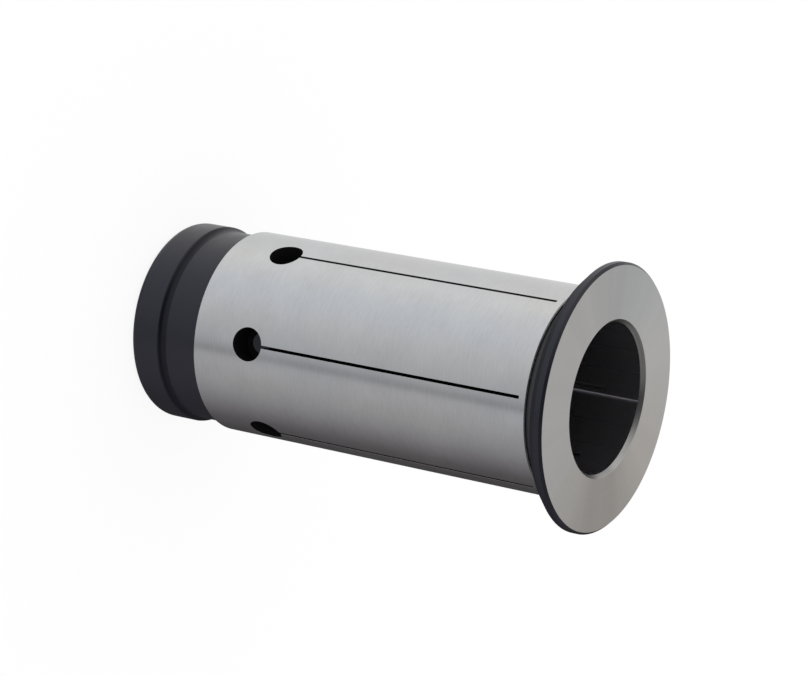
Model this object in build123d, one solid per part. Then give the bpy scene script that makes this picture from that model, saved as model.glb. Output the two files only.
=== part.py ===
from build123d import *
from math import radians, tan
import os

# Slotted reduction sleeve for a hydraulic expansion chuck, turned and ground from one bar.
# Millimetres. The axis is +Z: z = 0 is the rear end face, and the flange is at the top.

# Driving dimensions: lengths along the axis
overall_length = 60.0       # rear end face to front face
collar_length = 4.3         # blackened ring at the rear end
neck_length = 5.45          # blackened groove between the collar and the ground body
relief_length = 2.05        # run-out groove for the grinding wheel, behind the flange
flange_thickness = 2.0      # thin stop ring at the mouth

# Driving dimensions: diameters
bore_diameter = 18.0        # takes the tool shank
body_diameter = 25.0        # ground seat in the chuck
collar_diameter = 24.7
neck_diameter = 23.7
relief_diameter = 24.25
flange_diameter = 32.0

# Driving dimensions: corners
collar_edge_radius = 1.0    # rounded rear edge, leads the sleeve into the chuck
collar_front_break = 0.12
neck_root_height = 0.85     # hollow run-out from the collar's front edge down to the neck
body_edge_break = 0.12      # both ends of the ground seat
relief_fillet_radius = 0.25 # root of the flange
flange_back_chamfer = 1.0   # thins the flange towards its rim
flange_front_chamfer = 0.3
lead_in_width = 0.4         # steep chamfer at both ends of the bore, measured across the end face
lead_in_depth = 0.55        # and measured along the axis

# Driving dimensions: relief holes and slits, which let the wall close on the shank
slit_count = 6
first_slit_angle = 30.0     # degrees from +X, which runs through the middle of a land
seam_angle = 7.5            # degrees from +X, where the turned faces close, clear of every slit
slit_width = 0.38
slit_end_margin = 0.95      # ground wall left between the slits and the relief groove
hole_diameter = 4.1
hole_opening = 3.0          # what the drill's point leaves open in the bore
hole_point_angle = 118.0    # degrees, of the drill's point
hole_offset = 7.8           # from the rear end of the ground seat to the hole centres

# Radii and places that follow from them
bore_radius = bore_diameter / 2
body_radius = body_diameter / 2
collar_radius = collar_diameter / 2
neck_radius = neck_diameter / 2
relief_radius = relief_diameter / 2
flange_radius = flange_diameter / 2
hole_radius = hole_diameter / 2

body_start = collar_length + neck_length
flange_back = overall_length - flange_thickness
body_end = flange_back - relief_length
hole_height = body_start + hole_offset
slit_top = body_end - slit_end_margin

point_slope = tan(radians(hole_point_angle / 2))
full_bore_end = bore_radius + (hole_diameter - hole_opening) / 2 / point_slope


def corner(section, radius, height):
    """The corner of the half section that lies at this radius and height."""
    return section.vertices().sort_by_distance((radius, height))[0]


def half_section():
    """Section of the wall on one side of the axis: x is the radius, y the height."""
    collar_edge = (collar_radius - collar_front_break, collar_length)
    neck_end = (neck_radius, collar_length + neck_root_height)
    rear = Polyline(
        (bore_radius, lead_in_depth),
        (bore_radius + lead_in_width, 0),
        (collar_radius, 0),
        (collar_radius, collar_length - collar_front_break),
        collar_edge,
    )
    run_out = TangentArc(neck_end, collar_edge, tangent=(0, -1))
    front = Polyline(
        neck_end,
        (neck_radius, body_start),
        (body_radius, body_start),
        (body_radius, body_end),
        (relief_radius, body_end),
        (relief_radius, flange_back),
        (flange_radius, flange_back),
        (flange_radius, overall_length),
        (bore_radius + lead_in_width, overall_length),
        (bore_radius, overall_length - lead_in_depth),
        (bore_radius, lead_in_depth),
    )
    section = Sketch() + make_face(rear.edges() + run_out.edges() + front.edges())

    rounded_corners = (
        (collar_radius, 0, collar_edge_radius),
        (relief_radius, flange_back, relief_fillet_radius),
    )
    for radius, height, size in rounded_corners:
        section = fillet(corner(section, radius, height), size)

    chamfered_corners = (
        (body_radius, body_start, body_edge_break),
        (body_radius, body_end, body_edge_break),
        (flange_radius, flange_back, flange_back_chamfer),
        (flange_radius, overall_length, flange_front_chamfer),
    )
    for radius, height, size in chamfered_corners:
        section = chamfer(corner(section, radius, height), size)
    return section


def relief_cutter():
    """Radial drill with its point, and the wire cut above it, through one side of the wall, along +X."""
    reach = body_radius + 1.0
    outwards = (Align.CENTER, Align.CENTER, Align.MIN)
    point_length = hole_radius / point_slope
    drill = Pos(0, 0, full_bore_end) * Cylinder(hole_radius, reach - full_bore_end, align=outwards)
    drill += Pos(0, 0, full_bore_end - point_length) * Cone(0, hole_radius, point_length, align=outwards)
    drill = Pos(0, 0, hole_height) * Rot(Y=90) * drill
    wire_cut = Box(
        reach,
        slit_width,
        slit_top - hole_height,
        align=(Align.MIN, Align.CENTER, Align.MIN),
    )
    return drill + Pos(0, 0, hole_height) * wire_cut


def make_sleeve():
    """The sleeve: a turned blank, drilled and slit at equal angles round the axis."""
    blank = Rot(Z=seam_angle) * revolve(Plane.XZ * half_section(), axis=Axis.Z)
    cutter = relief_cutter()
    cuts = [place * cutter for place in PolarLocations(0, slit_count, first_slit_angle)]
    return blank - cuts


sleeve = make_sleeve()

os.makedirs("parts", exist_ok=True)
export_step(sleeve, "parts/sleeve.step")
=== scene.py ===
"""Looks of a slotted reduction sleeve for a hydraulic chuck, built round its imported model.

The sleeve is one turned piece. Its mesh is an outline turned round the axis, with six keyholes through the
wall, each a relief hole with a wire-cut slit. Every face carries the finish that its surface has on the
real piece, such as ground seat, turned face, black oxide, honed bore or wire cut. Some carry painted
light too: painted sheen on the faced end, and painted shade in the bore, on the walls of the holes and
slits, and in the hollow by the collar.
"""

import logging
import math
from dataclasses import dataclass, field
from enum import Enum
from typing import Iterable, Mapping, Sequence, Union

import bpy
from mathutils import Matrix, Vector

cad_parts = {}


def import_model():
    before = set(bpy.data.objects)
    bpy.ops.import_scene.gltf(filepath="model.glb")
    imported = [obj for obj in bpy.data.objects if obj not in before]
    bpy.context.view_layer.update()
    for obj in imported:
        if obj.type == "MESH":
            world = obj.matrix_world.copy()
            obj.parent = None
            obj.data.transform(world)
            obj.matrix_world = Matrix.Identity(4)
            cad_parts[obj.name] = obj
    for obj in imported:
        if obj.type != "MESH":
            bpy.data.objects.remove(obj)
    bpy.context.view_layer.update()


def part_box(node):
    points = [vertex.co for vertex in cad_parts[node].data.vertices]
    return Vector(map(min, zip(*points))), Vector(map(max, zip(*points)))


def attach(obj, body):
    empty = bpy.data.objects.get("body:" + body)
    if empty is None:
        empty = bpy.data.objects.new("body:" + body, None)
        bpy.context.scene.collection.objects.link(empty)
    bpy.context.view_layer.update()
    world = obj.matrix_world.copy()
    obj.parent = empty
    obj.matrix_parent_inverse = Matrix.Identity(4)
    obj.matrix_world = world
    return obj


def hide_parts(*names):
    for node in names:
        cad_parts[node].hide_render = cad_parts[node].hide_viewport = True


LOG = logging.getLogger("sleeve")

MM = 0.001
NODE = "sleeve"
BODY = "root"

ACROSS_MARKS = 0.25  # of a turn, so that a reflection spreads across the tool marks
NOISE_ROUGHNESS = 0.6
MARK_OCTAVES = 3.0
PATCH_OCTAVES = 2.0
FAN_SCALE = 4.0
RAY_SHARPNESS = 7.0
REACH_ROUNDS = 12  # rounds that settle where a relief hole meets a curved wall

Colour = tuple[float, float, float]
Point2 = tuple[float, float]


class Field:
    """A number that varies over a surface: one output socket, with Python's operators."""

    def __init__(self, graph: "Graph", socket: bpy.types.NodeSocket | None) -> None:
        """Wraps an output socket of a graph. A material's last node has none."""
        self.graph = graph
        self.socket = socket

    def __add__(self, other: "Operand") -> "Field":
        """self + other."""
        return self.graph.math("ADD", self, other)

    def __radd__(self, other: "Operand") -> "Field":
        """other + self."""
        return self.graph.math("ADD", other, self)

    def __sub__(self, other: "Operand") -> "Field":
        """self - other."""
        return self.graph.math("SUBTRACT", self, other)

    def __rsub__(self, other: "Operand") -> "Field":
        """other - self."""
        return self.graph.math("SUBTRACT", other, self)

    def __mul__(self, other: "Operand") -> "Field":
        """self * other."""
        return self.graph.math("MULTIPLY", self, other)

    def __rmul__(self, other: "Operand") -> "Field":
        """other * self."""
        return self.graph.math("MULTIPLY", other, self)

    def __truediv__(self, other: "Operand") -> "Field":
        """self / other."""
        return self.graph.math("DIVIDE", self, other)

    def __rtruediv__(self, other: "Operand") -> "Field":
        """other / self."""
        return self.graph.math("DIVIDE", other, self)

    def __pow__(self, other: "Operand") -> "Field":
        """self ** other."""
        return self.graph.math("POWER", self, other)

    def __rpow__(self, other: "Operand") -> "Field":
        """other ** self."""
        return self.graph.math("POWER", other, self)

    def limited(self) -> "Field":
        """The field held between 0 and 1."""
        return self.graph.add("ShaderNodeClamp", inputs={"Value": self})

    def output(self, name: str) -> "Field":
        """Another output of the same node, by its name."""
        return Field(self.graph, self.socket.node.outputs[name])


Operand = Union[float, Field]
SocketValue = Union[float, Field, Sequence[float]]


class Graph:
    """A node tree that is filled by one method for nodes and one for maths."""

    def __init__(self, tree: bpy.types.NodeTree) -> None:
        """Empties the node tree of a material or a world and takes it over."""
        self.tree = tree
        tree.nodes.clear()

    def add(
        self,
        kind: str,
        settings: Mapping[str, object] | None = None,
        inputs: Mapping[str | int, SocketValue] | None = None,
        output: str | int = 0,
    ) -> Field:
        """Adds a node, sets it and feeds its sockets.

        Args:
            kind: The node's type.
            settings: Its properties; "stops" holds a ramp's (place, colour) pairs.
            inputs: Its sockets by name or number, each with a constant or a field.
            output: Which output to hand back.

        Returns:
            The output as a field.
        """
        node = self.tree.nodes.new(kind)
        for name, value in (settings or {}).items():
            if name == "stops":
                self._set_stops(node.color_ramp, value)
            else:
                setattr(node, name, value)
        for key, value in (inputs or {}).items():
            self._feed(self._find(node.inputs, key), value)
        return Field(self, self._find(node.outputs, output) if node.outputs else None)

    def math(self, operation: str, first: Operand, second: Operand) -> Field:
        """One Math node: its operation on two numbers or fields."""
        return self.add("ShaderNodeMath", {"operation": operation}, {0: first, 1: second})

    def blend(self, factor: Operand, first: SocketValue, second: SocketValue) -> Field:
        """A colour between two others. Factor 0 gives the first, 1 the second."""
        inputs = {"Factor": factor, "A": self._rgba(first), "B": self._rgba(second)}
        return self.add("ShaderNodeMix", {"data_type": "RGBA"}, inputs, "Result")

    def _feed(self, socket: bpy.types.NodeSocket, value: SocketValue) -> None:
        """Links a field to a socket, or sets the socket to a constant.

        Args:
            socket: The input socket.
            value: A field, a number or a vector.
        """
        if isinstance(value, Field):
            self.tree.links.new(value.socket, socket)
        else:
            socket.default_value = value

    @staticmethod
    def _find(sockets: Iterable[bpy.types.NodeSocket], key: str | int) -> bpy.types.NodeSocket:
        """The socket of that number, or the one in use that has that name."""
        numbered = enumerate(sockets)
        return next(socket for place, socket in numbered if socket.enabled and key in (place, socket.name))

    @staticmethod
    def _rgba(value: SocketValue) -> SocketValue:
        """A colour with its alpha, or the field as it is."""
        return value if isinstance(value, Field) else (*value, 1.0)

    @staticmethod
    def _set_stops(ramp: bpy.types.ColorRamp, stops: Sequence[tuple[float, Colour]]) -> None:
        """Writes a colour ramp's stops.

        Args:
            ramp: The ramp.
            stops: (place, colour) pairs in rising order.
        """
        while len(ramp.elements) < len(stops):
            ramp.elements.new(1.0)
        for element, (place, colour) in zip(ramp.elements, stops):
            element.position = place
            element.color = (*colour, 1.0)


class Zone(Enum):
    """The finish that a face of the sleeve has. The value is its material's place on the mesh."""

    SEAT = 0
    FACE = 1
    OXIDE = 2
    BORE = 3
    MOUTH = 4
    CUT = 5
    GROOVE = 6
    HOLLOW = 7
    BRIM = 8


class Lay(Enum):
    """How the tool marks of a turned or ground surface lie. Either way they run round the axis."""

    STACKED = "rings one above the other, as on a cylinder"
    NESTED = "rings inside each other, as on a faced end"


@dataclass(frozen=True)
class Ray:
    """A broad ray of painted sheen on a faced end: its direction in degrees, and how it changes the tone and
    the warmth.
    """

    direction: float
    tone: float
    warmth: float


@dataclass(frozen=True)
class Finish:
    """A metal surface with tool marks that run round the axis.

    The marks are fine rings of a slightly different tone, roughness and height, with soft clouds over
    them, and the colour drifts between a cooler and a warmer cast. The reflection is spread across the
    marks more than along them. A faced end can have painted sheen too: fans, fine random streaks of
    painted sheen out from the axis, and broad rays of painted sheen that make the colour darker or
    lighter and warmer or cooler towards set directions.
    """

    name: str
    colour: Colour
    roughness: float
    metallic: float = 1.0
    specular: float = 0.5
    anisotropy: float = 0.0
    lay: Lay = Lay.STACKED
    mark_pitch_mm: float = 0.12
    mark_stretch: float = 60.0
    mark_height_mm: float = 0.002
    mark_tone: float = 0.08
    mark_roughness: float = 0.06
    cloud_size_mm: float = 5.0
    cloud_tone: float = 0.05
    cloud_roughness: float = 0.04
    drift: float = 0.5
    drift_size_mm: float = 16.0
    cast: float = 0.04
    fan_sheen_tone: float = 0.0
    rays: tuple[Ray, ...] = ()

    def material(self) -> bpy.types.Material:
        """Builds the material.

        Returns:
            The material.
        """
        made = bpy.data.materials.new(self.name)
        made.use_nodes = True
        graph = Graph(made.node_tree)
        marks, clouds = self.marks(graph), self.patches(graph, self.cloud_size_mm)
        relief = {"Distance": self.mark_height_mm * MM, "Height": marks}
        shader = graph.add(
            "ShaderNodeBsdfPrincipled",
            inputs={
                "Base Color": self.tone(graph, marks, clouds),
                "Metallic": self.metallic,
                "Specular IOR Level": self.specular,
                "Roughness": marks * self.mark_roughness + clouds * self.cloud_roughness + self.roughness,
                "Anisotropic": self.anisotropy,
                "Anisotropic Rotation": ACROSS_MARKS,
                "Normal": graph.add("ShaderNodeBump", inputs=relief),
            },
        )
        graph.add("ShaderNodeOutputMaterial", inputs={"Surface": shader})
        return made

    def marks(self, graph: Graph) -> Field:
        """Noise that is stretched round the axis, so that it reads as tool marks.

        Args:
            graph: The material's graph.

        Returns:
            A field from about -1 to 1.
        """
        place = graph.add("ShaderNodeTexCoord", output="Object")
        if self.lay is Lay.NESTED:
            x = graph.add("ShaderNodeSeparateXYZ", inputs={0: place}, output="X")
            y = x.output("Y")
            place = graph.add("ShaderNodeCombineXYZ", inputs={0: x, 1: y, 2: (x * x + y * y) ** 0.5})
        across = 1.0 / (self.mark_pitch_mm * MM)
        along = across / self.mark_stretch
        return self.noise(graph, place, (along, along, across), MARK_OCTAVES)

    def patches(self, graph: Graph, size_mm: float) -> Field:
        """Slow, soft patches of that size, alike in all directions, as a field from about -1 to 1."""
        scales = (1.0 / (size_mm * MM),) * 3
        return self.noise(graph, graph.add("ShaderNodeTexCoord", output="Object"), scales, PATCH_OCTAVES)

    @staticmethod
    def noise(graph: Graph, place: Field, scales: Sequence[float], octaves: float) -> Field:
        """Noise with its own scale each way.

        Args:
            graph: The material's graph.
            place: Where on the surface, in metres.
            scales: Cells per metre along X, Y and Z.
            octaves: How many sizes of grain lie over each other.

        Returns:
            A field from about -1 to 1.
        """
        scaled = graph.add("ShaderNodeVectorMath", {"operation": "MULTIPLY"}, {0: place, 1: scales})
        inputs = {"Vector": scaled, "Scale": 1.0, "Detail": octaves, "Roughness": NOISE_ROUGHNESS}
        return graph.add("ShaderNodeTexNoise", inputs=inputs) * 2.0 - 1.0

    def tone(self, graph: Graph, marks: Field, clouds: Field) -> Field:
        """The colour, a little lighter or darker with the marks and clouds, and on a faced end with painted
        sheen from the fans and rays.

        Args:
            graph: The material's graph.
            marks: The tool marks.
            clouds: The patches.

        Returns:
            The colour.
        """
        change = marks * self.mark_tone + clouds * self.cloud_tone
        warmth = self.patches(graph, self.drift_size_mm) * self.drift
        # On a faced end, painted sheen: random fans, and broad rays that darken, lighten, warm or cool the
        # colour towards set directions.
        if self.lay is Lay.NESTED:
            outwards = self.outwards(graph)
            fans = self.noise(graph, outwards, (FAN_SCALE,) * 3, MARK_OCTAVES)
            change = change + fans * self.fan_sheen_tone
            for ray in self.rays:
                share = self.on_sheen_ray(graph, outwards, ray.direction)
                change, warmth = change + share * ray.tone, warmth + share * ray.warmth
        red, green, blue = self.colour
        cool = (red * (1.0 - self.cast), green, blue * (1.0 + self.cast))
        warm = (red * (1.0 + self.cast), green, blue * (1.0 - self.cast))
        colour = graph.blend((warmth * 0.5 + 0.5).limited(), cool, warm)
        scale = (change + 0.5).limited() + 0.5
        return graph.add("ShaderNodeVectorMath", {"operation": "SCALE"}, {0: colour, "Scale": scale})

    @staticmethod
    def outwards(graph: Graph) -> Field:
        """The direction from the axis, as a level vector of length 1.

        Args:
            graph: The material's graph.

        Returns:
            The direction.
        """
        place = graph.add("ShaderNodeTexCoord", output="Object")
        flat = graph.add("ShaderNodeVectorMath", {"operation": "MULTIPLY"}, {0: place, 1: (1.0, 1.0, 0.0)})
        return graph.add("ShaderNodeVectorMath", {"operation": "NORMALIZE"}, {0: flat})

    @staticmethod
    def on_sheen_ray(graph: Graph, outwards: Field, direction: float) -> Field:
        """How much a broad ray of painted sheen covers a place: 1 on its middle line, a half about 36
        degrees off it.

        Args:
            graph: The material's graph.
            outwards: The direction from the axis.
            direction: The ray's, in degrees.

        Returns:
            The share.
        """
        inputs = {0: outwards, 1: tuple(polar(1.0, direction))}
        along = graph.add("ShaderNodeVectorMath", {"operation": "DOT_PRODUCT"}, inputs, "Value")
        return (along * 0.5 + 0.5) ** RAY_SHARPNESS


FINISHES: dict[Zone, Finish] = {
    Zone.SEAT: Finish(
        "ground_seat", (0.58, 0.58, 0.58), roughness=0.25, anisotropy=0.95, mark_pitch_mm=0.2,
        mark_stretch=7.0, mark_tone=0.10, mark_roughness=0.03, cloud_tone=0.10, cloud_roughness=0.02,
        drift=1.0,
    ),
    Zone.FACE: Finish(
        "turned_face", (0.553, 0.543, 0.53), roughness=0.36, anisotropy=0.6, lay=Lay.NESTED,
        # The fans are random streaks of painted sheen out from the axis.
        mark_pitch_mm=0.1, fan_sheen_tone=0.09, drift=0.6,
        # Broad rays of painted sheen: darker at 64 and 228 degrees, lighter at 184, warmer at 64 and 125,
        # cooler at 228.
        rays=(
            Ray(64.0, tone=-0.31, warmth=1.1),
            Ray(125.0, tone=0.0, warmth=0.6),
            Ray(184.0, tone=0.14, warmth=0.0),
            Ray(228.0, tone=-0.13, warmth=-0.7),
        ),
    ),
    Zone.OXIDE: Finish(
        "black_oxide", (0.003, 0.003, 0.012), roughness=0.36, metallic=0.0, mark_pitch_mm=0.25,
        cloud_size_mm=2.5, cloud_tone=0.4, cloud_roughness=0.08,
    ),
    # Honed steel in the bore, with painted shade: its colour is about half as light as the ground seat's,
    # for the little light that enters the bore.
    Zone.BORE: Finish(
        "honed_bore_painted_shade", (0.275, 0.265, 0.285), roughness=0.08, metallic=0.92, anisotropy=0.9,
        mark_height_mm=0.0003, mark_roughness=0.02, cloud_roughness=0.01,
    ),
    Zone.MOUTH: Finish(
        "turned_mouth", (0.42, 0.415, 0.405), roughness=0.30, anisotropy=0.5, mark_pitch_mm=0.14,
        mark_tone=0.5,
    ),
    # Cut metal of the relief holes and slits, darkened with painted shade to near black and barely
    # reflective.
    Zone.CUT: Finish(
        "cut_walls_painted_shade", (0.006, 0.006, 0.007), roughness=0.80, metallic=0.0, specular=0.08, mark_pitch_mm=0.3,
    ),
    Zone.GROOVE: Finish(
        "turned_groove", (0.030, 0.030, 0.034), roughness=0.5, metallic=0.0, mark_pitch_mm=0.2,
        mark_tone=0.3,
    ),
    # Black oxide in the hollow by the collar, with painted shade: darker and less reflective than the rest
    # of the oxide.
    Zone.HOLLOW: Finish(
        "oxide_hollow_painted_shade", (0.002, 0.002, 0.007), roughness=0.34, metallic=0.0, specular=0.28,
        mark_pitch_mm=0.25,
    ),
    Zone.BRIM: Finish(
        "turned_brim", (0.018, 0.018, 0.023), roughness=0.6, metallic=0.0, specular=0.05, mark_pitch_mm=0.25,
        mark_tone=0.3,
    ),
}


def polar(radius: float, angle: float, height: float = 0.0) -> Vector:
    """A point from its radius, its angle in degrees and its height."""
    turn = math.radians(angle)
    return Vector((radius * math.cos(turn), radius * math.sin(turn), height))


@dataclass(frozen=True)
class Stop:
    """A ring of the turned outline: its radius and height in millimetres, and the outward normal there."""

    radius: float
    height: float
    normal: Point2


@dataclass(frozen=True)
class Stretch:
    """A run of the turned outline between two corners, with one finish."""

    stops: tuple[Stop, ...]
    zone: Zone

    @classmethod
    def straight(cls, start: Point2, end: Point2, zone: Zone) -> "Stretch":
        """A straight run.

        Args:
            start: Radius and height where it starts.
            end: Radius and height where it ends, with the metal on the left hand.
            zone: Its finish.

        Returns:
            The run.
        """
        run, rise = end[0] - start[0], end[1] - start[1]
        length = math.hypot(run, rise)
        normal = (rise / length, -run / length)
        return cls((Stop(*start, normal), Stop(*end, normal)), zone)

    @classmethod
    def rounded(
        cls, centre: Point2, radius: float, first: float, last: float, zone: Zone, steps: int = 8
    ) -> "Stretch":
        """A round corner.

        Args:
            centre: Radius and height of the arc's centre.
            radius: The arc's radius.
            first: Angle where it starts, in degrees from straight outwards.
            last: Angle where it ends. A falling angle makes a hollow corner.
            zone: Its finish.
            steps: How many facets it has.

        Returns:
            The run.
        """
        sense = 1.0 if last > first else -1.0
        stops = []
        for step in range(steps + 1):
            away = polar(1.0, first + (last - first) * step / steps)
            place = (centre[0] + radius * away.x, centre[1] + radius * away.y)
            stops.append(Stop(*place, (sense * away.x, sense * away.y)))
        return cls(tuple(stops), zone)


@dataclass(frozen=True)
class Mark:
    """A point of a keyhole's outline: its place across and along the wall, in millimetres."""

    across: float
    height: float

    def on_wall(self, radius: float, angle: float) -> Vector:
        """Where a straight radial cut at that angle brings the point out on a cylinder."""
        return polar(radius, angle + math.degrees(math.asin(self.across / radius)), self.height)

    def on_flat(self, distance: float, angle: float) -> Vector:
        """Where the cut brings the point out on a flat across it, at a distance from the axis."""
        return polar(distance, angle) + polar(self.across, angle + 90.0, self.height)


@dataclass
class Shell:
    """A mesh in the making: points, faces, the normal at each face's corners, and finishes."""

    points: list[Vector] = field(default_factory=list)
    faces: list[tuple[int, ...]] = field(default_factory=list)
    normals: list[Vector] = field(default_factory=list)
    zones: list[Zone] = field(default_factory=list)

    def point(self, place: Vector) -> int:
        """Adds a point given in millimetres and returns its number."""
        self.points.append(place * MM)
        return len(self.points) - 1

    def face(self, corners: Sequence[int], normals: Sequence[Vector], zone: Zone) -> None:
        """Adds a face.

        Args:
            corners: The points, anticlockwise as seen from outside.
            normals: The surface's normal at each of them.
            zone: The finish.
        """
        self.faces.append(tuple(corners))
        self.normals.extend(normals)
        self.zones.append(zone)

    def build(self, name: str, finishes: Mapping[Zone, Finish]) -> bpy.types.Object:
        """Makes the object.

        Args:
            name: The piece's name.
            finishes: The finish of each zone.

        Returns:
            The object, in the scene.
        """
        mesh = bpy.data.meshes.new(name)
        mesh.from_pydata(self.points, [], self.faces)
        for zone in Zone:
            mesh.materials.append(finishes[zone].material())
        mesh.polygons.foreach_set("material_index", [zone.value for zone in self.zones])
        mesh.polygons.foreach_set("use_smooth", [True] * len(self.faces))
        mesh.normals_split_custom_set(self.normals)
        mesh.update()
        made = bpy.data.objects.new(name, mesh)
        bpy.context.scene.collection.objects.link(made)
        return made


Rings = dict[Point2, list[int]]


@dataclass
class Sleeve:
    """The slotted reduction sleeve. Lengths are in millimetres, from the rear end face upwards."""

    overall_length: float
    flange_diameter: float
    bore_diameter: float = 18.0
    body_diameter: float = 25.0
    collar_diameter: float = 24.7
    neck_diameter: float = 23.7
    relief_diameter: float = 24.25

    collar_length: float = 4.3
    neck_length: float = 5.45
    relief_length: float = 2.05
    flange_thickness: float = 2.0

    collar_edge_radius: float = 1.0
    collar_front_break: float = 0.12
    neck_root_height: float = 0.85
    body_edge_break: float = 0.12
    relief_fillet_radius: float = 0.25
    flange_back_chamfer: float = 1.0
    flange_front_chamfer: float = 0.3
    lead_in_width: float = 0.4
    lead_in_depth: float = 0.55

    slit_count: int = 6
    first_slit_angle: int = 30
    slit_width: float = 0.38
    slit_end_margin: float = 0.95
    hole_diameter: float = 4.1
    hole_opening: float = 3.0
    hole_point_angle: float = 118.0
    hole_offset: float = 7.8
    keyhole_edge_break: float = 0.01

    columns: int = 360
    shell: Shell = field(default_factory=Shell)

    @classmethod
    def from_frame(cls) -> "Sleeve":
        """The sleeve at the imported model's own length and flange diameter."""
        low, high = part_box(NODE)
        return cls(
            overall_length=round((high.z - low.z) / MM, 2),
            flange_diameter=round((high.x - low.x) / MM, 1),
        )

    @property
    def body_start(self) -> float:
        """Height where the ground seat starts."""
        return self.collar_length + self.neck_length

    @property
    def flange_back(self) -> float:
        """Height of the flange's back face."""
        return self.overall_length - self.flange_thickness

    @property
    def body_end(self) -> float:
        """Height where the ground seat ends."""
        return self.flange_back - self.relief_length

    @property
    def hole_height(self) -> float:
        """Height of the relief holes' centres."""
        return self.body_start + self.hole_offset

    @property
    def slit_top(self) -> float:
        """Height where the slits end."""
        return self.body_end - self.slit_end_margin

    @property
    def point_slope(self) -> float:
        """How fast the cone that the drill's point leaves widens outwards."""
        return math.tan(math.radians(self.hole_point_angle / 2))

    @property
    def full_bore_end(self) -> float:
        """Distance from the axis to where the relief holes reach their full diameter."""
        return self.bore_diameter / 2 + (self.hole_diameter - self.hole_opening) / 2 / self.point_slope

    def hole_reach(self, wall: float, turn: float) -> float:
        """How far a relief hole reaches from its centre line where it breaks through a wall.

        Args:
            wall: The wall's radius.
            turn: Direction round the hole, in radians from straight up.

        Returns:
            The distance.
        """
        full = reach = self.hole_diameter / 2
        for _ in range(REACH_ROUNDS):
            depth = self.full_bore_end - math.sqrt(wall**2 - (reach * math.sin(turn)) ** 2)
            reach = min(full, full - depth * self.point_slope)
        return reach

    def build(self) -> bpy.types.Object:
        """Builds the whole sleeve as one closed mesh.

        Returns:
            The object.
        """
        rings: Rings = {}
        for stretch in self.outside() + self.bore_ends():
            self.turn(stretch, rings)
        seat, bore = self.body_diameter / 2, self.bore_diameter / 2
        step, depth = self.body_edge_break, self.lead_in_depth
        start, end = self.body_start + step, self.body_end - step
        outer = SlottedWall(self, rings, (seat, start), (seat, end), Zone.SEAT)
        inner = SlottedWall(self, rings, (bore, depth), (bore, self.overall_length - depth), Zone.BORE)
        for sector in range(self.slit_count):
            self.cut(sector, outer.build(sector), inner.build(sector))
        return self.shell.build("reduction_sleeve", FINISHES)

    def outside(self) -> list[Stretch]:
        """The outline from the bore's rear end, round the outside, to its mouth, but for the ground seat.

        Returns:
            Its runs.
        """
        body, bore = self.body_diameter / 2, self.bore_diameter / 2
        collar, neck = self.collar_diameter / 2, self.neck_diameter / 2
        groove, flange = self.relief_diameter / 2, self.flange_diameter / 2
        edge, root = self.collar_edge_radius, self.relief_fillet_radius
        lip, step, brim = self.collar_front_break, self.body_edge_break, self.flange_back_chamfer
        front, mouth = self.flange_front_chamfer, self.lead_in_width
        collar_end, back, length = self.collar_length, self.flange_back, self.overall_length
        start, end, black = self.body_start, self.body_end, Zone.OXIDE
        drop, rise = collar - lip - neck, self.neck_root_height
        hollow = (drop**2 + rise**2) / (2 * drop)
        lean = math.degrees(math.atan2(rise, hollow - drop))
        line, arc = Stretch.straight, Stretch.rounded
        return [
            line((bore + mouth, 0.0), (collar - edge, 0.0), black),
            arc((collar - edge, edge), edge, -90.0, 0.0, black),
            line((collar, edge), (collar, collar_end - lip), black),
            line((collar, collar_end - lip), (collar - lip, collar_end), black),
            arc((neck + hollow, collar_end + rise), hollow, 180.0 + lean, 180.0, Zone.HOLLOW),
            line((neck, collar_end + rise), (neck, start), black),
            line((neck, start), (body - step, start), black),
            line((body - step, start), (body, start + step), Zone.SEAT),
            line((body, end - step), (body - step, end), Zone.SEAT),
            line((body - step, end), (groove, end), Zone.GROOVE),
            line((groove, end), (groove, back - root), Zone.GROOVE),
            arc((groove + root, back - root), root, 180.0, 90.0, Zone.GROOVE, steps=5),
            line((groove + root, back), (flange - brim, back), black),
            line((flange - brim, back), (flange, back + brim), Zone.BRIM),
            line((flange, back + brim), (flange, length - front), black),
            line((flange, length - front), (flange - front, length), black),
            line((flange - front, length), (bore + mouth, length), Zone.FACE),
        ]

    def bore_ends(self) -> list[Stretch]:
        """The lead-in chamfers at the two ends of the bore.

        Returns:
            Their runs.
        """
        bore, length = self.bore_diameter / 2, self.overall_length
        width, depth = self.lead_in_width, self.lead_in_depth
        return [
            Stretch.straight((bore + width, length), (bore, length - depth), Zone.MOUTH),
            Stretch.straight((bore, depth), (bore + width, 0.0), Zone.OXIDE),
        ]

    def turn(self, stretch: Stretch, rings: Rings) -> None:
        """Turns a run of the outline round the axis.

        Args:
            stretch: The run.
            rings: The points of each ring made so far, by its radius and height. New rings are added.
        """
        for low, high in zip(stretch.stops, stretch.stops[1:]):
            first, second = self.ring(low, rings), self.ring(high, rings)
            for column in range(self.columns):
                following = (column + 1) % self.columns
                corners = (first[column], first[following], second[following], second[column])
                ends = ((low, column), (low, following), (high, following), (high, column))
                normals = [self.turned_normal(stop, place) for stop, place in ends]
                self.shell.face(corners, normals, stretch.zone)

    def ring(self, stop: Stop, rings: Rings) -> list[int]:
        """The points of a ring, made if they aren't there yet.

        Args:
            stop: The ring.
            rings: The rings made so far.

        Returns:
            The numbers of its points.
        """
        key = self.ring_key(stop.radius, stop.height)
        if key not in rings:
            rings[key] = [
                self.shell.point(polar(stop.radius, self.column_angle(column), stop.height))
                for column in range(self.columns)
            ]
        return rings[key]

    @staticmethod
    def ring_key(radius: float, height: float) -> Point2:
        """A ring's radius and height, rounded so that equal rings meet."""
        return round(radius, 5), round(height, 5)

    def column_angle(self, column: int) -> float:
        """Angle of a column, in degrees."""
        return 360.0 * column / self.columns

    def turned_normal(self, stop: Stop, column: int) -> Vector:
        """The normal of a ring at a column."""
        return polar(stop.normal[0], self.column_angle(column), stop.normal[1])

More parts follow.
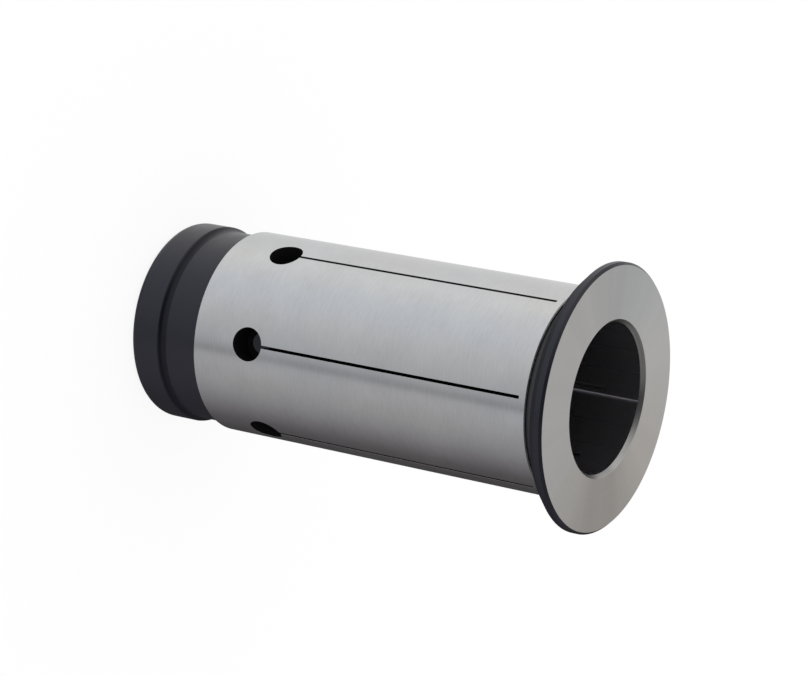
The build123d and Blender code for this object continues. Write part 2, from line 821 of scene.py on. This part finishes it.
    def cut(self, sector: int, outer_loop: list[int], inner_loop: list[int]) -> None:
        """The sides of a relief hole and its slit, from the seat through to the bore.

        Args:
            sector: Which keyhole.
            outer_loop: The points round it on the seat.
            inner_loop: The points round it in the bore.
        """
        angle = self.first_slit_angle + sector * 360 // self.slit_count
        edge = self.body_diameter / 2 - self.keyhole_edge_break
        outline = KeyholeOutline(self, edge)
        out = polar(1.0, angle)
        outer_edge = [self.shell.point(mark.on_wall(edge, angle)) for mark in outline.marks]
        root = [self.shell.point(mark.on_flat(self.full_bore_end, angle)) for mark in outline.marks]
        bands = (
            (outer_loop, outer_edge, 1.0, 1.0, Zone.SEAT),
            (outer_edge, root, 0.0, 0.0, Zone.CUT),
            (root, inner_loop, self.point_slope, 0.0, Zone.CUT),
        )
        for near, far, hole_lean, slit_lean, zone in bands:
            for here in range(len(near)):
                there = (here + 1) % len(near)
                lean = out * (hole_lean if outline.is_hole(here) else slit_lean)
                start, end = ((side + lean).normalized() for side in outline.side_normals(here, angle))
                corners = (near[here], far[here], far[there], near[there])
                self.shell.face(corners, (start, start, end, end), zone)


@dataclass
class KeyholeOutline:
    """The outline of a relief hole with its slit, clockwise as seen from outside.

    It starts where the slit's right side leaves the hole, goes round the hole, up the slit's left side,
    over its end and down its right side. It lies on a wall of that radius and is larger than the cut by the
    margin. The wall's grid leaves a frame free round the hole, with half_columns to each side and rows that
    reach half_height up and down, and above it slit_columns to each side of the slit. The frame is filled
    in layers.
    """

    sleeve: Sleeve
    wall: float
    margin: float = 0.0
    half_columns: int = 18
    slit_columns: int = 2
    rows: int = 16
    layers: int = 5
    half_height: float = 4.25

    def __post_init__(self) -> None:
        """Works out the outline's points."""
        self.centre = self.sleeve.hole_height
        half = self.sleeve.slit_width / 2 + self.margin
        segments = 2 * (self.half_columns + 1 - self.slit_columns + self.rows + self.half_columns)
        opening = math.asin(half / (self.sleeve.hole_reach(self.wall, 0.0) + self.margin))
        arc = []
        for step in range(segments + 1):
            turn = opening + (2 * math.pi - 2 * opening) * step / segments
            reach = self.sleeve.hole_reach(self.wall, turn) + self.margin
            arc.append(Mark(reach * math.sin(turn), self.centre + reach * math.cos(turn)))
        base, top = arc[0].height, self.centre + self.half_height
        climb = [base + (top - base) * layer / self.layers for layer in range(1, self.layers + 1)]
        left = [Mark(-half, height) for height in (*climb, self.sleeve.slit_top + self.margin)]
        right = [Mark(-mark.across, mark.height) for mark in reversed(left)]
        self.arc_points = len(arc)
        self.slit_end = left[-1].height
        self.marks = [*arc, *left, Mark(0.0, self.slit_end), *right]

    def is_hole(self, here: int) -> bool:
        """Whether the facet that starts at a point is part of the hole, not of the slit."""
        return here < self.arc_points - 1

    def side_normals(self, here: int, angle: float) -> tuple[Vector, Vector]:
        """The normals of the cut's side at the two ends of one facet. They point into the opening.

        Args:
            here: Number of the facet's first point.
            angle: The slit's angle, in degrees.

        Returns:
            The two normals.
        """
        across = polar(1.0, angle + 90.0)
        ends = self.marks[here], self.marks[(here + 1) % len(self.marks)]
        if self.is_hole(here):
            start, end = (-across * end.across - Vector((0, 0, end.height - self.centre)) for end in ends)
            return start.normalized(), end.normalized()
        if ends[0].height == ends[1].height:
            return Vector((0, 0, -1)), Vector((0, 0, -1))
        side = -across if ends[0].across > 0 else across
        return side, side


@dataclass
class SlottedWall:
    """A cylinder wall that the keyholes open onto, made a sector at a time.

    It runs between two rings, given by their radius and height. The bore's wall faces the axis.
    """

    sleeve: Sleeve
    rings: Rings
    low: Point2
    high: Point2
    zone: Zone

    def __post_init__(self) -> None:
        """Works out the heights and the end rings of the wall's grid."""
        self.shell, self.radius = self.sleeve.shell, self.low[0]
        margin = 0.0 if self.zone is Zone.BORE else self.sleeve.keyhole_edge_break
        self.outline = KeyholeOutline(self.sleeve, self.radius, margin)
        frame, rows = self.outline.half_height, self.outline.rows
        bottom = self.sleeve.hole_height - frame
        rungs = (bottom + 2 * frame * row / rows for row in range(rows + 1))
        self.heights = [*rungs, self.outline.slit_end]
        self.grid: dict[tuple[int, int], int] = {}
        for row, end in ((-1, self.low), (len(self.heights), self.high)):
            for column, point in enumerate(self.rings[self.sleeve.ring_key(*end)]):
                self.grid[column, row] = point

    def build(self, sector: int) -> list[int]:
        """Makes one sector of the wall.

        Args:
            sector: Which sector.

        Returns:
            The points round its keyhole.
        """
        middle = self.sleeve.first_slit_angle + sector * self.sleeve.columns // self.sleeve.slit_count
        half = self.sleeve.columns // self.sleeve.slit_count // 2
        loop = [self.shell.point(mark.on_wall(self.radius, middle)) for mark in self.outline.marks]
        frame, rows, slit = self.outline.half_columns, self.outline.rows, self.outline.slit_columns
        for column in range(-half, half):
            for row in range(-1, len(self.heights)):
                in_frame = -frame <= column < frame and 0 <= row < rows
                in_slit = -slit <= column < slit and row >= rows
                if not (in_frame or in_slit):
                    self.quad(
                        self.at(middle + column, row),
                        self.at(middle + column + 1, row),
                        self.at(middle + column + 1, row + 1),
                        self.at(middle + column, row + 1),
                    )
        self.fill_frame(middle, loop)
        self.fill_slit_sides(middle, loop)
        return loop

    def at(self, column: int, row: int) -> int:
        """The grid's point at a column and row, made if it isn't there yet.

        Args:
            column: The column.
            row: The row: -1 is the lower ring.

        Returns:
            The point's number.
        """
        key = (column % self.sleeve.columns, row)
        if key not in self.grid:
            place = polar(self.radius, self.sleeve.column_angle(column), self.heights[row])
            self.grid[key] = self.shell.point(place)
        return self.grid[key]

    def quad(self, *corners: int) -> None:
        """Adds a face of the wall, from corners that are anticlockwise as seen from outside."""
        if self.zone is Zone.BORE:
            corners = corners[::-1]
        sense = -1.0 if self.zone is Zone.BORE else 1.0
        normals = []
        for corner in corners:
            place = self.shell.points[corner]
            normals.append(Vector((place.x, place.y, 0.0)).normalized() * sense)
        self.shell.face(corners, normals, self.zone)

    def strip(self, near: list[int], far: list[int]) -> None:
        """Adds the faces between two rows of points."""
        for here in range(len(near) - 1):
            self.quad(near[here], near[here + 1], far[here + 1], far[here])

    def fill_frame(self, middle: int, loop: list[int]) -> None:
        """Fills the frame of the wall round the relief hole.

        Args:
            middle: The slit's column.
            loop: The points round the keyhole.
        """
        half, slit, rows = self.outline.half_columns, self.outline.slit_columns, self.outline.rows
        layers, arc_points = self.outline.layers, self.outline.arc_points
        left_climb = loop[arc_points : arc_points + layers]
        right_climb = loop[-1 : -layers - 1 : -1]
        border = [
            right_climb[-1],
            *(self.at(middle + column, rows) for column in range(slit, half + 1)),
            *(self.at(middle + half, row) for row in range(rows - 1, -1, -1)),
            *(self.at(middle + column, 0) for column in range(half - 1, -half - 1, -1)),
            *(self.at(middle - half, row) for row in range(1, rows + 1)),
            *(self.at(middle + column, rows) for column in range(1 - half, 1 - slit)),
            left_climb[-1],
        ]
        previous = loop[:arc_points]
        for layer in range(1, layers + 1):
            following = border
            if layer < layers:
                pairs = zip(loop[1 : arc_points - 1], border[1:])
                inner = [self.shell.point(self.between(near, far, layer / layers)) for near, far in pairs]
                following = [right_climb[layer - 1], *inner, left_climb[layer - 1]]
            self.strip(previous, following)
            previous = following

    def between(self, near: int, far: int, share: float) -> Vector:
        """A point on the wall between two others, in millimetres. Share 0 gives the near one."""
        place = self.shell.points[near].lerp(self.shell.points[far], share) / MM
        return polar(self.radius, math.degrees(math.atan2(place.y, place.x)), place.z)

    def fill_slit_sides(self, middle: int, loop: list[int]) -> None:
        """Fills the wall beside the slit and over its end.

        Args:
            middle: The slit's column.
            loop: The points round the keyhole.
        """
        first = self.outline.arc_points + self.outline.layers - 1
        low_left, high_left, end, high_right, low_right = loop[first : first + 5]
        rows, slit = self.outline.rows, self.outline.slit_columns
        left, right, top = middle - slit, middle + slit, rows + 1
        self.quad(self.at(left, rows), low_left, high_left, self.at(left, top))
        self.quad(low_right, self.at(right, rows), self.at(right, top), high_right)
        bottom = [self.at(left, top), high_left, end, high_right, self.at(right, top)]
        above = [self.at(middle + column, top + 1) for column in range(-slit, slit + 1)]
        self.strip(bottom, above)


@dataclass(frozen=True)
class Viewpoint:
    """Where the camera stands. The sleeve stands upright, so the picture's roll is the camera's."""

    azimuth: float = 52.741
    elevation: float = 30.480
    roll: float = 100.574
    distance_mm: float = 335.679
    target_mm: tuple[float, float, float] = (-2.205, -1.658, 31.278)
    lens_mm: float = 122.975
    sensor_mm: float = 36.0
    nearest_view: float = 0.01

    @property
    def back(self) -> Vector:
        """From the target to the camera."""
        rise = math.radians(self.elevation)
        return polar(math.cos(rise), self.azimuth - 90.0, math.sin(rise))

    def place(self) -> None:
        """Makes the camera and hands it to the scene."""
        level = Vector((0, 0, 1)).cross(self.back).normalized()
        turn = Matrix.Rotation(math.radians(self.roll), 3, self.back)
        right = turn @ level
        axes = Matrix((right, self.back.cross(right), self.back)).transposed()
        lens = bpy.data.cameras.new("camera")
        lens.lens, lens.sensor_width, lens.sensor_fit = self.lens_mm, self.sensor_mm, "HORIZONTAL"
        lens.clip_start = self.nearest_view
        camera = bpy.data.objects.new("camera", lens)
        place = (Vector(self.target_mm) + self.back * self.distance_mm) * MM
        camera.matrix_world = Matrix.Translation(place) @ axes.to_4x4()
        bpy.context.scene.collection.objects.link(camera)
        bpy.context.scene.camera = camera


@dataclass(frozen=True)
class Lamp:
    """A square soft light, aimed at the middle of the sleeve. Its size, distance and aim are in metres."""

    name: str
    azimuth: float
    elevation: float
    watts: float
    size: float
    distance: float = 0.6
    aim: float = 0.03

    def hang(self) -> None:
        """Makes the lamp."""
        light = bpy.data.lights.new(self.name, "AREA")
        light.energy, light.size, light.shape = self.watts, self.size, "SQUARE"
        lamp = bpy.data.objects.new(self.name, light)
        flat = self.distance * math.cos(math.radians(self.elevation))
        away = polar(flat, self.azimuth, self.distance * math.sin(math.radians(self.elevation)))
        lamp.location = Vector((0, 0, self.aim)) + away
        lamp.rotation_euler = away.to_track_quat("Z", "Y").to_euler()
        bpy.context.scene.collection.objects.link(lamp)


@dataclass(frozen=True)
class Tone:
    """The backdrop at one angle from the camera's side: its grey, and its extra shares of red and blue."""

    angle: float
    grey: float
    red: float = 0.0
    blue: float = 0.0

    @property
    def colour(self) -> Colour:
        """The tone as a colour."""
        return self.grey * (1.0 + self.red), self.grey, self.grey * (1.0 + self.blue)


@dataclass
class Studio:
    """A plain pale floor, a soft lamp and a wrap-round backdrop that falls off to one side.

    Reflections see a sweep: side tones round the horizon, top tones above top_start and the ground's tone
    below ground_start, which are heights of a direction of length 1. Each is mixed in over its blend.
    Towards the camera's side, from front_start on, the top tones begin higher by front_lift, and their
    blend is shorter by front_sharpening.
    """

    camera_azimuth: float = -37.75
    floor_size: float = 6.0
    floor_drop_mm: float = 0.02
    floor_colour: Colour = (0.97, 0.97, 0.97)
    shadow_depth: float = 0.12
    # Painted shade: the dim glow that reflections see on the floor under the bore.
    shade: Colour = (0.078, 0.078, 0.088)
    shade_radius_mm: float = 9.5
    ground: Colour = (0.34, 0.34, 0.35)
    ground_start: float = -0.78
    ground_blend: float = 0.1
    top_start: float = 0.05
    top_blend: float = 0.3
    front_start: float = 0.2
    front_blend: float = 0.5
    front_lift: float = 0.36
    front_sharpening: float = 0.18
    side_tones: tuple[Tone, ...] = (
        Tone(-180, 0.5), Tone(-174, 0.95), Tone(-160, 0.9), Tone(-145, 0.89), Tone(-125, 0.92),
        Tone(-90, 1.0), Tone(-60, 0.905, -0.03, 0.045), Tone(-40, 0.86, -0.035, 0.065),
        Tone(-20, 0.785, -0.015, 0.03),
        Tone(0, 0.685, -0.02, 0.025), Tone(14, 0.62, -0.02, 0.045), Tone(22, 0.53, -0.02, 0.05),
        Tone(28, 0.36, -0.02, 0.05), Tone(30, 0.39, -0.015, 0.05), Tone(32.5, 0.575, -0.01, 0.05),
        Tone(42, 0.58, -0.005, 0.04), Tone(60, 0.495, 0.0, 0.015), Tone(80, 0.385, 0.005, 0.035),
        Tone(100, 0.24, 0.06, 0.07), Tone(112, 0.165, 0.07, 0.05), Tone(122, 0.11, 0.07, 0.04),
        Tone(132, 0.107, 0.07, 0.04), Tone(150, 0.057, 0.065, 0.025), Tone(172, 0.06), Tone(180, 0.5),
    )
    top_tones: tuple[Tone, ...] = (
        Tone(-180, 0.74), Tone(-165, 0.57), Tone(-150, 0.44), Tone(-130, 0.46), Tone(-105, 0.68),
        Tone(-84, 0.5), Tone(-66, 0.37), Tone(-46, 0.1), Tone(-26, 0.035), Tone(-5, 0.025),
        Tone(15, 0.03), Tone(28, 0.1), Tone(38, 0.2), Tone(70, 0.26), Tone(110, 0.26),
        Tone(135, 0.38), Tone(150, 0.44), Tone(165, 0.6), Tone(180, 0.74),
    )
    lamp: Lamp = Lamp("key", azimuth=-121.5, elevation=50.0, watts=0.5, size=0.7)

    def build(self) -> None:
        """Builds the floor, the backdrop and the lamp."""
        self.lay_floor()
        self.wrap_backdrop()
        self.lamp.hang()

    def lay_floor(self) -> None:
        """Lays the floor: white with a soft shadow, and clear from below and to reflections but under the
        bore, where reflections see a painted shade.
        """
        half, low = self.floor_size / 2, -self.floor_drop_mm * MM
        corners = [(-half, -half, low), (half, -half, low), (half, half, low), (-half, half, low)]
        mesh = bpy.data.meshes.new("floor")
        mesh.from_pydata(corners, [], [(0, 1, 2, 3)])
        floor = bpy.data.objects.new("floor", mesh)
        bpy.context.scene.collection.objects.link(floor)
        material = bpy.data.materials.new("pale_floor")
        material.use_nodes = True
        graph = Graph(material.node_tree)
        lit = graph.add("ShaderNodeBsdfDiffuse", inputs={"Color": (*self.floor_colour, 1.0)})
        white = graph.add("ShaderNodeEmission", inputs={"Color": (1.0, 1.0, 1.0, 1.0)})
        rays = graph.add("ShaderNodeLightPath", output="Is Camera Ray")
        plain = rays * (1.0 - self.shadow_depth)
        direct = graph.add("ShaderNodeMixShader", inputs={0: plain, 1: lit, 2: white})
        clear = graph.add("ShaderNodeBsdfTransparent")
        # Painted shade: under the bore the floor glows with a fixed dim tone for reflections.
        shade = graph.add("ShaderNodeEmission", inputs={"Color": (*self.shade, 1.0)})
        reflected = graph.add("ShaderNodeMixShader", inputs={0: self.in_bore(graph), 1: clear, 2: shade})
        glossy = rays.output("Is Glossy Ray")
        surface = graph.add("ShaderNodeMixShader", inputs={0: glossy, 1: direct, 2: reflected})
        below = graph.add("ShaderNodeNewGeometry", output="Backfacing")
        surface = graph.add("ShaderNodeMixShader", inputs={0: below, 1: surface, 2: clear})
        graph.add("ShaderNodeOutputMaterial", inputs={"Surface": surface})
        mesh.materials.append(material)

    def in_bore(self, graph: Graph) -> Field:
        """1 on the floor under the bore, which lies in the sleeve's own shade and where reflections see a
        painted shade, and 0 elsewhere.
        """
        x = graph.add("ShaderNodeSeparateXYZ", inputs={0: graph.add("ShaderNodeNewGeometry")}, output="X")
        return graph.math("LESS_THAN", x * x + x.output("Y") ** 2.0, (self.shade_radius_mm * MM) ** 2)

    def wrap_backdrop(self) -> None:
        """Sets the world: white to the camera and as plain light, a soft sweep of tones to reflections."""
        world = bpy.data.worlds.new("backdrop")
        world.use_nodes = True
        world.cycles.sampling_method = "NONE"
        bpy.context.scene.world = world
        graph = Graph(world.node_tree)
        sweep = self.sweep(graph, graph.add("ShaderNodeTexCoord", output="Generated"))
        glossy = graph.add("ShaderNodeLightPath", output="Is Glossy Ray")
        colour = graph.blend(glossy, (1.0, 1.0, 1.0), sweep)
        surface = graph.add("ShaderNodeBackground", inputs={"Color": colour})
        graph.add("ShaderNodeOutputWorld", inputs={"Surface": surface})

    def sweep(self, graph: Graph, sight: Field) -> Field:
        """The backdrop's tone in a direction.

        Args:
            graph: The world's graph.
            sight: The direction that a ray looks in.

        Returns:
            The colour.
        """
        x = graph.add("ShaderNodeSeparateXYZ", inputs={0: sight}, output="X")
        turn = math.radians(self.camera_azimuth)
        ahead = x * math.cos(turn) + x.output("Y") * math.sin(turn)
        aside = x.output("Y") * math.cos(turn) - x * math.sin(turn)
        share = graph.math("ARCTAN2", aside, ahead) / (2.0 * math.pi) + 0.5
        sides, top = (self.ramp(graph, share, tones) for tones in (self.side_tones, self.top_tones))
        height = x.output("Z")
        deep = (self.ground_start - height) / self.ground_blend
        low = graph.blend(deep.limited(), sides, self.ground)
        front = ((ahead - self.front_start) / self.front_blend).limited()
        start = front * self.front_lift + self.top_start
        blend = self.top_blend - front * self.front_sharpening
        return graph.blend(((height - start) / blend).limited(), low, top)

    @staticmethod
    def ramp(graph: Graph, share: Field, tones: Sequence[Tone]) -> Field:
        """A colour that changes round the horizon, from tones in rising order of their angles."""
        stops = [(tone.angle / 360.0 + 0.5, tone.colour) for tone in tones]
        return graph.add("ShaderNodeValToRGB", {"stops": stops}, {"Fac": share})


def main() -> None:
    """Builds the sleeve, its studio and the camera."""
    logging.basicConfig(level=logging.INFO)
    bpy.context.scene.view_settings.view_transform = "Standard"
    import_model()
    sleeve = Sleeve.from_frame().build()
    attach(sleeve, BODY)
    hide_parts(NODE)
    LOG.info("%s: %d faces", sleeve.name, len(sleeve.data.polygons))
    Studio().build()
    Viewpoint().place()


if __name__ == "__main__":
    main()
